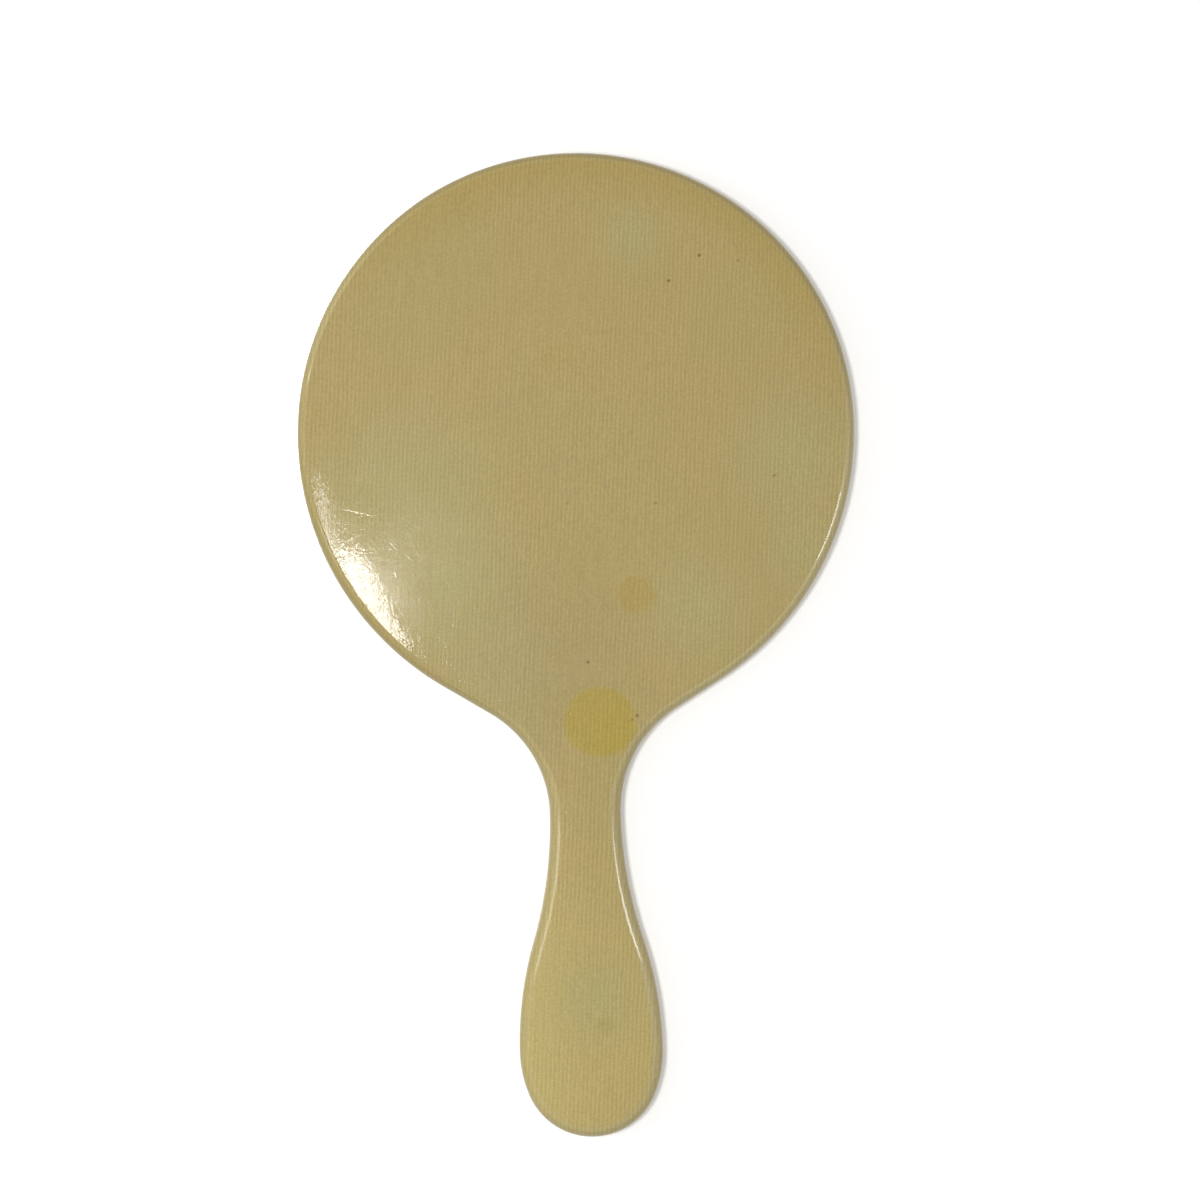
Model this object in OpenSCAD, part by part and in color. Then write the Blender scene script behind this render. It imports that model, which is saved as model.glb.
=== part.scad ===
// Round hand mirror in grained celluloid, lying face down: the glass looks along -Z.
// The origin is on the plane it rests on, half way along its length. The handle points along -Y.
// Two pressed shells are cemented along a tongue and groove, round a board and a wooden stick.
// The glass lies on a card and a felt in the front shell, and a split bead holds it in.

/* [Outline] */
// Diameter of the round head
head_d = 150; // [125:1:180]
// How much larger the radius of the head's flanks, below its centre line, is than the head's
flank_extra_r = 4.4; // [0:0.2:10]
// Length of the straight slope between a flank and a shoulder
slope_l = 14.4; // [4:0.2:24]
// Radius of the hollow shoulders between the slope and the neck
shoulder_r = 32.2; // [26:0.2:40]
// Width of the neck at its narrowest
neck_w = 19.2; // [16:0.2:24]
// Distance from the narrowest place to the widest place of the handle
grip_drop = 63.6; // [53:0.2:77]
// Width of the handle at its widest
grip_w = 38.6; // [32:0.2:46.4]
// Radius of the handle's sides at its widest
grip_side_r = 100; // [80:1:120]
// Distance from the widest place to the butt
butt_l = 23.4; // [20:0.2:28]
// How much smaller the butt's radius is than half the handle's width
butt_taper = 1; // [0.8:0.1:2]

/* [Shells] */
// Height of the seam between the shells above the front plane
seam_z = 5.2; // [4.8:0.1:6.4]
// Wall of both shells
wall = 2.2; // [1.8:0.1:2.6]
// Wall of the back over the flat ceiling, at the middle of the head
back_wall = 2.4; // [2:0.1:3]
// Height of the back's plain side above the seam
side_h = 1; // [0.6:0.1:1.6]
// Width of the back's rolled edge, from the side to the crease at the face
crease_in = 3.1; // [2.4:0.1:4]
// Sweep of the back's rolled edge, which ends steep of the face at the crease, in degrees
roll_sweep = 62; // [50:1:75]
// Radius of the front's rolled edge
front_roll_r = 3.2; // [2.4:0.1:3.6]
// Radius of the crown across the head
head_crown_r = 3600; // [2500:100:6000]
// Radius of the crown across the handle
grip_crown_r = 300; // [200:10:600]
// Height of the tongue on the seam
tongue_h = 0.7; // [0.5:0.05:0.9]
// Width of the tongue
tongue_w = 0.7; // [0.5:0.05:0.8]
// Side clearance of the tongue in its groove
tongue_clear = 0.05; // [0.02:0.01:0.1]

/* [Glass] */
// Width of the front rim round the glass seat
rim_w = 7; // [6:0.2:9]
// Depth of the glass below the front plane
glass_sink = 1.5; // [1.2:0.1:2]
// Thickness of the glass
glass_t = 3; // [2.4:0.1:3.6]
// Width of the bevel
bevel_w = 10; // [6:0.5:14]
// Fall of the bevel to the edge
bevel_fall = 1.1; // [0.7:0.1:1.3]
// Radial play of the glass in its seat, which the packing strip fills
glass_play = 0.5; // [0.3:0.05:0.8]
// Play on each side of the packing strip
strip_clear = 0.05; // [0.02:0.01:0.1]
// Thickness of the silver coat
silver_t = 0.1; // [0.05:0.01:0.15]
// Thickness of the paint over the silver
paint_t = 0.1; // [0.05:0.01:0.15]
// Thickness of the card disc
card_t = 0.8; // [0.6:0.05:1]
// Thickness of the felt disc
felt_t = 1; // [0.8:0.05:1.2]

/* [Bead] */
// Width of the bead that holds the glass
bead_w = 2.8; // [2.2:0.1:3.4]
// Depth of the bead below the front plane
bead_sink = 0.25; // [0.1:0.05:0.4]
// Radius of the ridge that snaps into the groove
snap_r = 0.5; // [0.3:0.05:0.6]
// Clearance of the bead and its ridge in the front shell
bead_clear = 0.1; // [0.05:0.01:0.2]
// Gap where the bead's two ends meet
bead_gap = 0.6; // [0.3:0.1:1.5]

/* [Core] */
// Clearance between the core and the shells' side walls
core_clear = 0.2; // [0.1:0.05:0.4]
// Thickness of the board over the felt
board_t = 2.1; // [1.8:0.1:3]
// Distance from the head's rim to the shoulder of the handle's stick
core_step = 1; // [0.5:0.1:4]
// Length of the board's tab in the stick's slot
tab_l = 16; // [12:0.5:19]
// Thickness of the tab
tab_t = 1.8; // [1.4:0.1:2]
// Diameter of the pegs through the joint
peg_d = 3; // [2:0.2:3.6]
// Distance between the two pegs
peg_pitch = 11; // [8:0.5:14]
// Clearance round the pegs, and round the tab in its slot
peg_clear = 0.05; // [0.02:0.01:0.08]

/* [Detail] */
// Length of one straight step along the outline
outline_step = 4.5; // [3:0.5:8]
// Steps of the rolled edges
roll_steps = 6; // [4:1:8]
// Strips across the crowned face
crown_strips = 8; // [6:2:12]
// Steps of the bead's rounded front
bead_steps = 8; // [4:1:16]

/* [Hidden] */
$fn = 128;
cut = 1; // how far a cut runs past the face it opens

// The outline's arcs, in the head's own plane, with the head's centre at [0, 0].
head_r = head_d / 2;
flank_r = head_r + flank_extra_r;
flank_c = [-flank_extra_r, 0];
shoulder_x = neck_w / 2 + shoulder_r;
turned_r = flank_r + shoulder_r; // the flank's and the shoulder's radii together
slope_a = acos((shoulder_x - flank_c.x) / norm([turned_r, slope_l])) - atan2(slope_l, turned_r);
slope_start = flank_c + flank_r * [cos(slope_a), -sin(slope_a)];
neck_y = -turned_r * sin(slope_a) - slope_l * cos(slope_a);
flare = (grip_w - neck_w) / 2;
flare_r = (grip_drop ^ 2 + flare ^ 2) / (2 * flare); // the neck's and the grip's radii together
waist_r = flare_r - grip_side_r; // radius of the hollow side between the neck and the grip
flare_a = atan2(grip_drop, flare_r - flare);
grip_y = neck_y - grip_drop;
end_y = grip_y - butt_l;
butt_r = grip_w / 2 - butt_taper;
cheek_r = ((grip_w / 2) ^ 2 + (butt_l - butt_r) ^ 2 - butt_r ^ 2) / (2 * butt_taper);
cheek_a = atan2(butt_l - butt_r, cheek_r - grip_w / 2);
overall_l = head_r - end_y;
head_y = overall_l / 2 - head_r; // where the head's centre is in the part's own frame

// The stack from the front plane upwards.
glass_back_z = glass_sink + glass_t;
silver_back_z = glass_back_z + silver_t;
paint_back_z = silver_back_z + paint_t;
card_back_z = paint_back_z + card_t;
seat_z = card_back_z + felt_t; // where the felt lies on the board
ceiling_z = seat_z + board_t;
top_z = ceiling_z + back_wall;

side_top_z = seam_z + side_h; // where the back's roll starts

seat_r = head_r - rim_w;
glass_r = seat_r - glass_play;
tongue_in = (wall - tongue_w) / 2; // from the outline to the tongue

// The bead lies on the bevel, and its ridge is half way up its outside.
bead_r = seat_r - bead_clear;
bead_in_r = seat_r - bead_w;
bead_across = bead_r - bead_in_r;
bead_lip_z = bevel_z(bead_in_r);
bead_foot_z = bevel_z(glass_r);
snap_z = (bead_sink + bead_foot_z) / 2;

// The joint between the board and the stick.
core_in = wall + core_clear; // from the outline to the cores
core_step_y = -head_r - core_step;
tab_end_y = core_step_y - tab_l;
tab_top_z = seam_z + tab_t;

// Height of the glass's front at a radius on the bevel.
function bevel_z(r) = glass_sink + bevel_fall * (r - glass_r + bevel_w) / bevel_w;

// One arc of the half outline: n points from angle a0, leaving out the last at a1.
function arc(c, r, a0, a1) =
    let (n = max(3, ceil(abs(a1 - a0) * PI / 180 * r / outline_step)))
    [for (i = [0 : n - 1]) c + r * [cos(a0 + (a1 - a0) * i / n), sin(a0 + (a1 - a0) * i / n)]];

// An arc of the outline moved inwards by inset. The steps stay those of the outline itself, so that
// all rings have the same number of points. side is 1 where the outline bulges and -1 where it is hollow.
function edge(c, r, a0, a1, side, inset) =
    [for (p = arc(c, r, a0, a1)) p - side * inset * (p - c) / r];

// The straight slope in the same way.
function slope(inset) =
    let (n = ceil(slope_l / outline_step), step = slope_l / n * [-sin(slope_a), -cos(slope_a)])
    [for (i = [0 : n - 1]) slope_start + i * step - inset * [cos(slope_a), -sin(slope_a)]];

// Right half of the outline, from the top of the head to the middle of the butt.
function half_outline(inset) = [
    each edge([0, 0], head_r, 90, 0, 1, inset),
    each edge(flank_c, flank_r, 0, -slope_a, 1, inset),
    each slope(inset),
    each edge([shoulder_x, neck_y], shoulder_r, 180 - slope_a, 180, -1, inset),
    each edge([neck_w / 2 + waist_r, neck_y], waist_r, 180, 180 + flare_a, -1, inset),
    each edge([grip_w / 2 - grip_side_r, grip_y], grip_side_r, flare_a, 0, 1, inset),
    each edge([grip_w / 2 - cheek_r, grip_y], cheek_r, 0, -cheek_a, 1, inset),
    each edge([0, end_y + butt_r], butt_r, -cheek_a, -90, 1, inset),
    [0, end_y + inset]
];

half_n = len(half_outline(0)) - 1; // index of the butt's middle point
ring_n = 2 * half_n;

// A smooth step from 0 to 1.
function smooth(t) =
    let (s = min(1, max(0, t)))
    s * s * (3 - 2 * s);

// The whole outline, moved inwards by inset, clockwise seen from above.
function outline(inset) =
    let (right = half_outline(inset))
    [each right, for (i = [half_n - 1 : -1 : 1]) [-right[i].x, right[i].y]];

// Height of the crowned face: the head is crowned across and towards its top, the handle across.
function crown_z(p) =
    let (
        along = smooth((p.y - neck_y) / (-head_r - neck_y)),
        across = along / head_crown_r + (1 - along) / grip_crown_r
    )
    top_z - p.x ^ 2 / 2 * across - max(0, p.y) ^ 2 / 2 / head_crown_r;

// Faces between rings of points that share the outline's steps.
function ring_faces(rings) = [
    for (k = [0 : rings - 2], i = [0 : ring_n - 1])
        let (a = k * ring_n + i, b = k * ring_n + (i + 1) % ring_n)
        each [[a, a + ring_n, b + ring_n], [a, b + ring_n, b]]
];

// Faces that close a flat ring, in rows from each point on the right to its twin on the left.
function row_faces(first, up) = [
    for (i = [0 : half_n - 1])
        let (r0 = i, r1 = i + 1, l1 = ring_n - i - 1, l0 = (ring_n - i) % ring_n)
        for (t = [[r0, r1, l1], [r0, l1, l0]])
            if (t[0] != t[1] && t[1] != t[2] && t[0] != t[2])
                let (f = [for (v = t) first + v])
                up ? f : [f[2], f[1], f[0]]
];

// The crowned face: a grid of strips between the right and the left points of ring 0. Its inner
// points follow the rings' own points, which start at base.
function face_index(i, j, base) =
    i == 0 ? 0 :
    i == half_n ? half_n :
    j == 0 ? i :
    j == crown_strips ? ring_n - i :
    base + (i - 1) * (crown_strips - 1) + j - 1;
function crown_faces(base) = [
    for (i = [0 : half_n - 1], j = [0 : crown_strips - 1])
        let (
            a = face_index(i, j, base),
            b = face_index(i + 1, j, base),
            c = face_index(i + 1, j + 1, base),
            d = face_index(i, j + 1, base)
        )
        for (t = [[a, b, c], [a, c, d]])
            if (t[0] != t[1] && t[1] != t[2] && t[0] != t[2]) t
];

// Rings of the back shell, from the crease at the face down to the seam, through the groove and up
// the inside: each is [inset, height, share of the way from that height up to the crease].
function back_profile() = [
    for (s = [roll_steps : -1 : 0])
        let (a = roll_sweep * s / roll_steps)
        [crease_in * (1 - cos(a)) / (1 - cos(roll_sweep)), side_top_z, sin(a) / sin(roll_sweep)],
    [0, seam_z, 0],
    [tongue_in - tongue_clear, seam_z, 0],
    [tongue_in - tongue_clear, seam_z + tongue_h + tongue_clear, 0],
    [tongue_in + tongue_w + tongue_clear, seam_z + tongue_h + tongue_clear, 0],
    [tongue_in + tongue_w + tongue_clear, seam_z, 0],
    [wall, seam_z, 0],
    [wall, ceiling_z, 0]
];

module back_shell() {
    profile = back_profile();
    crease = outline(crease_in);
    crease_z = [for (p = crease) crown_z(p)];
    rim = [for (p = profile) let (o = outline(p[0])) for (i = [0 : ring_n - 1])
        [o[i].x, o[i].y, p[1] + p[2] * (crease_z[i] - p[1])]];
    face = [for (i = [1 : half_n - 1], j = [1 : crown_strips - 1])
        let (p = [crease[i].x * (1 - 2 * j / crown_strips), crease[i].y])
        [p.x, p.y, crown_z(p)]];
    rings = len(profile);
    faces = concat(
        crown_faces(rings * ring_n),
        ring_faces(rings),
        row_faces((rings - 1) * ring_n, false)
    );
    color("#b0a06c")
        translate([0, head_y])
            polyhedron(concat(rim, face), faces);
}

// Rings of the front shell, from inside the tongue round to the front plane.
function front_profile() = [
    [tongue_in + tongue_w, seam_z],
    [tongue_in + tongue_w, seam_z + tongue_h],
    [tongue_in, seam_z + tongue_h],
    [tongue_in, seam_z],
    [0, seam_z],
    for (s = [0 : roll_steps])
        let (a = 90 * s / roll_steps)
        [front_roll_r * (1 - cos(a)), front_roll_r * (1 - sin(a))]
];

// Everything inside the outline moved inwards by inset, between two heights and two places along it.
module slab(inset, z0, z1, y0, y1) {
    intersection() {
        translate([0, 0, z0])
            linear_extrude(z1 - z0)
                polygon(outline(inset));
        translate([-head_r, y0, z0 - cut])
            cube([head_d, y1 - y0, z1 - z0 + 2 * cut]);
    }
}

module front_shell() {
    profile = front_profile();
    rim = [for (p = profile) for (o = outline(p[0])) [o.x, o.y, p[1]]];
    rings = len(profile);
    faces = concat(
        row_faces(0, true),
        ring_faces(rings),
        row_faces((rings - 1) * ring_n, false)
    );
    color("#b5a571")
        translate([0, head_y])
            difference() {
                polyhedron(rim, faces);
                translate([0, 0, -cut])
                    cylinder(h = seam_z + 2 * cut, r = seat_r);
                rotate_extrude()
                    translate([seat_r, snap_z])
                        circle(r = snap_r + bead_clear);
                slab(wall, wall, seam_z + cut, end_y, core_step_y);
            }
}

// The bead: a rounded front, a foot that lies on the bevel, and the ridge that snaps into the groove.
module bead_section() {
    front = [for (s = [0 : bead_steps])
        let (a = 90 * s / bead_steps)
        [bead_r - bead_across * cos(a), bead_lip_z - (bead_lip_z - bead_sink) * sin(a)]];
    polygon([each front, [bead_r, bead_foot_z], [glass_r, bead_foot_z]]);
    translate([bead_r, snap_z])
        circle(r = snap_r);
}

module bezel_bead() {
    gap_a = bead_gap / seat_r * 180 / PI;
    color("#b9aa76")
        translate([0, head_y])
            rotate([0, 0, -90 + gap_a / 2])
                rotate_extrude(angle = 360 - gap_a)
                    bead_section();
}

module mirror_glass() {
    color("#dce6e4")
        translate([0, head_y])
            rotate_extrude()
                polygon([[0, glass_sink], [glass_r - bevel_w, glass_sink], [glass_r, bevel_z(glass_r)],
                    [glass_r, glass_back_z], [0, glass_back_z]]);
}

// A round disc of the stack behind the glass, between two heights.
module disc(r, z0, z1) {
    translate([0, head_y, z0])
        cylinder(h = z1 - z0, r = r);
}

module silver_coat() {
    color("#d8d8d8") disc(glass_r, glass_back_z, silver_back_z);
}

module backing_paint() {
    color("#7a3b2c") disc(glass_r, silver_back_z, paint_back_z);
}

// Paper wound round the edge of the glass, so that it can't shift in its seat.
module packing_strip() {
    z0 = bevel_z(glass_r);
    color("#8c7b5a")
        translate([0, head_y, z0])
            difference() {
                cylinder(h = paint_back_z - z0, r = seat_r - strip_clear);
                translate([0, 0, -cut])
                    cylinder(h = paint_back_z - z0 + 2 * cut, r = glass_r + strip_clear);
            }
}

module backing_card() {
    color("#9a8463") disc(glass_r, paint_back_z, card_back_z);
}

module felt_cushion() {
    color("#6f6a63") disc(glass_r, card_back_z, seat_z);
}

// The pegs, or their holes when clear is above 0.
module pegs(z0, z1, clear) {
    for (x = [-1, 1])
        translate([x * peg_pitch / 2, (core_step_y + tab_end_y) / 2, z0])
            cylinder(h = z1 - z0, r = peg_d / 2 + clear);
}

// The board: its edge stands on the seam, its hollow holds the felt, and its tab is in the stick's slot.
module head_core() {
    color("#a9824f")
        translate([0, head_y])
            difference() {
                union() {
                    slab(core_in, seam_z, tab_top_z, tab_end_y, head_r);
                    slab(core_in, tab_top_z, ceiling_z, core_step_y, head_r);
                }
                translate([0, 0, seam_z - cut])
                    cylinder(h = seat_z - seam_z + cut, r = seat_r);
                pegs(seam_z - cut, ceiling_z + cut, peg_clear);
            }
}

// The stick, which fills both halves of the handle and is slotted for the tab.
module handle_core() {
    color("#c9a673")
        translate([0, head_y])
            difference() {
                slab(core_in, wall, ceiling_z, end_y, core_step_y - peg_clear);
                translate([-head_r, tab_end_y - peg_clear, seam_z])
                    cube([head_d, tab_l + 2 * cut, tab_t + peg_clear]);
                pegs(wall - cut, ceiling_z + cut, peg_clear);
            }
}

module core_pegs() {
    color("#b98f56")
        translate([0, head_y])
            pegs(wall, ceiling_z, 0);
}

back_shell();
front_shell();
bezel_bead();
mirror_glass();
silver_coat();
backing_paint();
packing_strip();
backing_card();
felt_cushion();
head_core();
handle_core();
core_pegs();
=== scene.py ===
"""A round celluloid hand mirror lying face down, as seen from above its back. Lengths are in metres."""
import math

import bmesh
import bpy
import numpy as np
from mathutils import Matrix, Vector
from mathutils.geometry import tessellate_polygon

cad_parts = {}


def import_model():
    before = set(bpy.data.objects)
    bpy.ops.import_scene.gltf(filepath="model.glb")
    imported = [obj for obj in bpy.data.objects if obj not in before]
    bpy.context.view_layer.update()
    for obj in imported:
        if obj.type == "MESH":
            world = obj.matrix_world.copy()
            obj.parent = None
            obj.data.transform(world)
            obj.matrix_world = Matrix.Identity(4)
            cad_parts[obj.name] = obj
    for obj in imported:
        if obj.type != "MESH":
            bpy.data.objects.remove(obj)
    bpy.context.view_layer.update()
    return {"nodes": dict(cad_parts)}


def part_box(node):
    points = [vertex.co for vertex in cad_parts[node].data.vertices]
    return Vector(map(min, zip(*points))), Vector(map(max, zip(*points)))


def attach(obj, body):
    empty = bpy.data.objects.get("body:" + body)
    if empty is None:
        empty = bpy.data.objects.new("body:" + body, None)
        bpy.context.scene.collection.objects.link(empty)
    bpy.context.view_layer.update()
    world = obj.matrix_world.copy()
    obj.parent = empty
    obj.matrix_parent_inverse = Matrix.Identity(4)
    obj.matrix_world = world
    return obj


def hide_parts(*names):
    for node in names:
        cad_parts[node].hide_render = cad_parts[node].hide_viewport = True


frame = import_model()
MM = 0.001

# ---------------------------------------------------------------- sizes
# The outline's arcs, as in the CAD model. The head's centre is [0, 0] in them.
HEAD_R = 75 * MM
FLANK_EXTRA_R = 4.4 * MM
SLOPE_L = 14.4 * MM
SHOULDER_R = 32.2 * MM
NECK_W = 19.2 * MM
GRIP_DROP = 63.6 * MM
GRIP_W = 38.6 * MM
GRIP_SIDE_R = 100 * MM
BUTT_L = 23.4 * MM
BUTT_TAPER = 1 * MM

# Walls, seams and crowns, as in the CAD model.
WALL = 2.2 * MM
RIM_W = 7 * MM
SIDE_H = 1 * MM
ROLL_SWEEP = math.radians(62)
FRONT_ROLL_R = 3.2 * MM
HEAD_CROWN_R = 3600 * MM
GRIP_CROWN_R = 300 * MM
TONGUE_H = 0.7 * MM
TONGUE_W = 0.7 * MM
TONGUE_CLEAR = 0.05 * MM
CORE_STEP = 1 * MM
BEVEL_W = 10 * MM
BEVEL_FALL = 1.1 * MM
BEAD_W = 2.8 * MM
BEAD_SINK = 0.25 * MM
BEAD_CLEAR = 0.1 * MM
BEAD_GAP = 0.6 * MM
SNAP_R = 0.5 * MM

# What only the looks have: the crease's place and rounding, and the face's fall towards it.
CREASE_IN_HEAD = 2.3 * MM
CREASE_IN_GRIP = 3.0 * MM
CREASE_ROUND = 0.4 * MM
EDGE_FALL = 0.12 * MM
EDGE_FALL_W = 10 * MM
ARRIS = 0.15 * MM  # the small rounding of every other edge
ARRIS_MID = 0.3 * ARRIS  # how far in the rounding is at its middle
GLASS_ARRIS = 0.2 * MM  # the ground-off corner of the glass
SKIN = 0.01 * MM  # how far the shells stay inside the CAD model's outline
WELD = 1e-6  # points closer than this are one
OUTLINE_STEP = 0.75 * MM
ROLL_STEPS = 14
FILLET_STEPS = 8
RIDGE_STEPS = 8
LIP_STEPS = 14
FACE_STRIPS = 44
FELT_RINGS = 24
LATHE_STEPS = 288

# Heights and radii that the frame gives.
SEAM_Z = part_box("back_shell")[0].z
TOP_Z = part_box("back_shell")[1].z
CEILING_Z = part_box("head_core")[1].z
GLASS_LO, GLASS_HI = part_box("mirror_glass")
GLASS_R = (GLASS_HI.x - GLASS_LO.x) / 2
HEAD_Y = (GLASS_HI.y + GLASS_LO.y) / 2
SEAT_R = HEAD_R - RIM_W
SILVER_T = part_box("silver_coat")[1].z - GLASS_HI.z
FELT_LO, FELT_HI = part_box("felt_cushion")


# ---------------------------------------------------------------- outline
def arc(centre, radius, start, end, side):
    """Points of an arc without its last one, each with the outline's outward direction there."""
    n = max(3, math.ceil(abs(end - start) * radius / OUTLINE_STEP))
    turn = start + (end - start) * np.arange(n) / n
    out = np.column_stack([np.cos(turn), np.sin(turn)])
    return np.asarray(centre) + radius * out, side * out


def half_outline():
    """Right half of the outline, from the top of the head to the middle of the butt."""
    flank_r = HEAD_R + FLANK_EXTRA_R
    turned_r = flank_r + SHOULDER_R
    shoulder_x = NECK_W / 2 + SHOULDER_R
    slope_a = math.acos((shoulder_x + FLANK_EXTRA_R) / math.hypot(turned_r, SLOPE_L))
    slope_a -= math.atan2(SLOPE_L, turned_r)
    neck_y = -turned_r * math.sin(slope_a) - SLOPE_L * math.cos(slope_a)
    flare = (GRIP_W - NECK_W) / 2
    flare_r = (GRIP_DROP**2 + flare**2) / (2 * flare)
    flare_a = math.atan2(GRIP_DROP, flare_r - flare)
    waist_r = flare_r - GRIP_SIDE_R
    grip_y = neck_y - GRIP_DROP
    end_y = grip_y - BUTT_L
    butt_r = GRIP_W / 2 - BUTT_TAPER
    cheek_r = ((GRIP_W / 2) ** 2 + (BUTT_L - butt_r) ** 2 - butt_r**2) / (2 * BUTT_TAPER)
    cheek_a = math.atan2(BUTT_L - butt_r, cheek_r - GRIP_W / 2)
    out = np.array([math.cos(slope_a), -math.sin(slope_a)])
    down = np.array([-math.sin(slope_a), -math.cos(slope_a)])
    n = math.ceil(SLOPE_L / OUTLINE_STEP)
    slope = flank_r * out - [FLANK_EXTRA_R, 0] + np.outer(SLOPE_L * np.arange(n) / n, down)
    parts = [
        arc((0, 0), HEAD_R, math.pi / 2, 0, 1),
        arc((-FLANK_EXTRA_R, 0), flank_r, 0, -slope_a, 1),
        (slope, np.tile(out, (n, 1))),
        arc((shoulder_x, neck_y), SHOULDER_R, math.pi - slope_a, math.pi, -1),
        arc((NECK_W / 2 + waist_r, neck_y), waist_r, math.pi, math.pi + flare_a, -1),
        arc((GRIP_W / 2 - GRIP_SIDE_R, grip_y), GRIP_SIDE_R, flare_a, 0, 1),
        arc((GRIP_W / 2 - cheek_r, grip_y), cheek_r, 0, -cheek_a, 1),
        arc((0, end_y + butt_r), butt_r, -cheek_a, -math.pi / 2, 1),
        (np.array([[0, end_y]]), np.array([[0, -1]])),
    ]
    points = np.vstack([part[0] for part in parts])
    outward = np.vstack([part[1] for part in parts])
    return points - SKIN * outward, outward, neck_y


HALF, HALF_OUT, NECK_Y = half_outline()
HALF_N = len(HALF) - 1
MIRRORED = HALF[-2:0:-1] * [-1, 1]
OUTLINE = np.vstack([HALF, MIRRORED])
OUTWARD = np.vstack([HALF_OUT, HALF_OUT[-2:0:-1] * [-1, 1]])
RING_N = len(OUTLINE)


def smooth(t):
    t = np.clip(t, 0, 1)
    return t * t * (3 - 2 * t)


def head_share(y):
    """1 on the head and 0 on the handle, with a smooth step between."""
    return smooth((y - NECK_Y) / (-HEAD_R - NECK_Y))


CREASE_IN = CREASE_IN_GRIP + (CREASE_IN_HEAD - CREASE_IN_GRIP) * head_share(OUTLINE[:, 1])


def inset_ring(inset):
    """The outline moved inwards. inset is one length, or one for each point."""
    return OUTLINE - OUTWARD * np.reshape(inset, (-1, 1))


CREASE = inset_ring(CREASE_IN)


def face_z(points):
    """Height of the crowned face, which falls a little more near the crease."""
    x, y = points[:, 0], points[:, 1]
    share = head_share(y)
    across = share / HEAD_CROWN_R + (1 - share) / GRIP_CROWN_R
    crown = x**2 / 2 * across + np.clip(y, 0, None) ** 2 / 2 / HEAD_CROWN_R
    near = np.empty(len(points))
    chunk = 2000
    for first in range(0, len(points), chunk):
        some = points[first : first + chunk, None, :] - CREASE[None, :, :]
        near[first : first + chunk] = np.sqrt((some**2).sum(2).min(1))
    fall = EDGE_FALL * np.clip(1 - near / EDGE_FALL_W, 0, 1) ** 2
    return TOP_Z - crown - fall


# ---------------------------------------------------------------- meshes
def new_piece(name, bm, material, stands_for, sharp=35):
    """Makes an object of a bmesh that was drawn round the head's centre, and rides it on the body."""
    bmesh.ops.recalc_face_normals(bm, faces=bm.faces)
    mesh = bpy.data.meshes.new(name)
    bm.to_mesh(mesh)
    bm.free()
    mesh.transform(Matrix.Translation((0, HEAD_Y, 0)))
    mesh.shade_smooth()
    mesh.set_sharp_from_angle(angle=math.radians(sharp))
    piece = bpy.data.objects.new(name, mesh)
    bpy.context.scene.collection.objects.link(piece)
    mesh.materials.append(material)
    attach(piece, "root")
    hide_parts(stands_for)
    return piece


def add_ring(bm, points, z):
    heights = np.broadcast_to(z, len(points))
    return [bm.verts.new((p[0], p[1], h)) for p, h in zip(points, heights)]


def bridge(bm, a, b):
    """Faces between two rings with the same number of points."""
    for i in range(len(a)):
        j = (i + 1) % len(a)
        bm.faces.new((a[i], b[i], b[j], a[j]))


def bridge_all(bm, rings):
    for a, b in zip(rings, rings[1:]):
        bridge(bm, a, b)


def close_rows(bm, ring):
    """Closes a ring of the outline by a flat row from each right point to its twin on the left."""
    for i in range(HALF_N):
        corners = [ring[i], ring[i + 1], ring[RING_N - i - 1], ring[(RING_N - i) % RING_N]]
        bm.faces.new(list(dict.fromkeys(corners)))


def close_flat(bm, loops):
    """Closes the flat space between an outer loop of points and the loops of its holes."""
    triangles = tessellate_polygon([[v.co for v in loop] for loop in loops])
    verts = [v for loop in loops for v in loop]
    for t in triangles:
        if len(set(t)) == 3:
            bm.faces.new([verts[i] for i in t])


def circle_points(radius):
    turn = 2 * math.pi * np.arange(LATHE_STEPS) / LATHE_STEPS
    return radius * np.column_stack([np.sin(turn), np.cos(turn)])


def half_round(from_axis, z, radius):
    """Half a circle in a profile of (radius, z), from its lowest point round its outside to its top."""
    turns = [math.pi * (k / RIDGE_STEPS - 0.5) for k in range(RIDGE_STEPS + 1)]
    return [(from_axis + radius * math.cos(a), z + radius * math.sin(a)) for a in turns]


def lathe(profile, sweep=2 * math.pi, end_shrink=0.0):
    """Turns a closed profile of (radius, z) round the head's centre. A part turn gets eased ends."""
    bm = bmesh.new()
    whole = sweep >= 2 * math.pi
    turns = [sweep * k / LATHE_STEPS for k in range(LATHE_STEPS if whole else LATHE_STEPS + 1)]
    middle = np.mean(profile, axis=0)
    rings = []
    if not whole:
        ease = end_shrink / middle[0]
        turns = [0, ease] + turns[1:-1] + [sweep - ease, sweep]
    start = -math.pi / 2 + (2 * math.pi - sweep) / 2
    for k, turn in enumerate(turns):
        at_end = not whole and k in (0, len(turns) - 1)
        ring = []
        for r, z in profile:
            if at_end:
                gap = np.array([r, z]) - middle
                r, z = middle + gap * (1 - end_shrink / max(np.hypot(*gap), end_shrink))
            angle = start + turn
            ring.append(bm.verts.new((r * math.cos(angle), r * math.sin(angle), z)))
        rings.append(ring)
    for k in range(len(rings) if whole else len(rings) - 1):
        bridge(bm, rings[k], rings[(k + 1) % len(rings)])
    if not whole:
        bm.faces.new(rings[0])
        bm.faces.new(rings[-1])
    bmesh.ops.remove_doubles(bm, verts=bm.verts, dist=WELD)
    return bm


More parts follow.
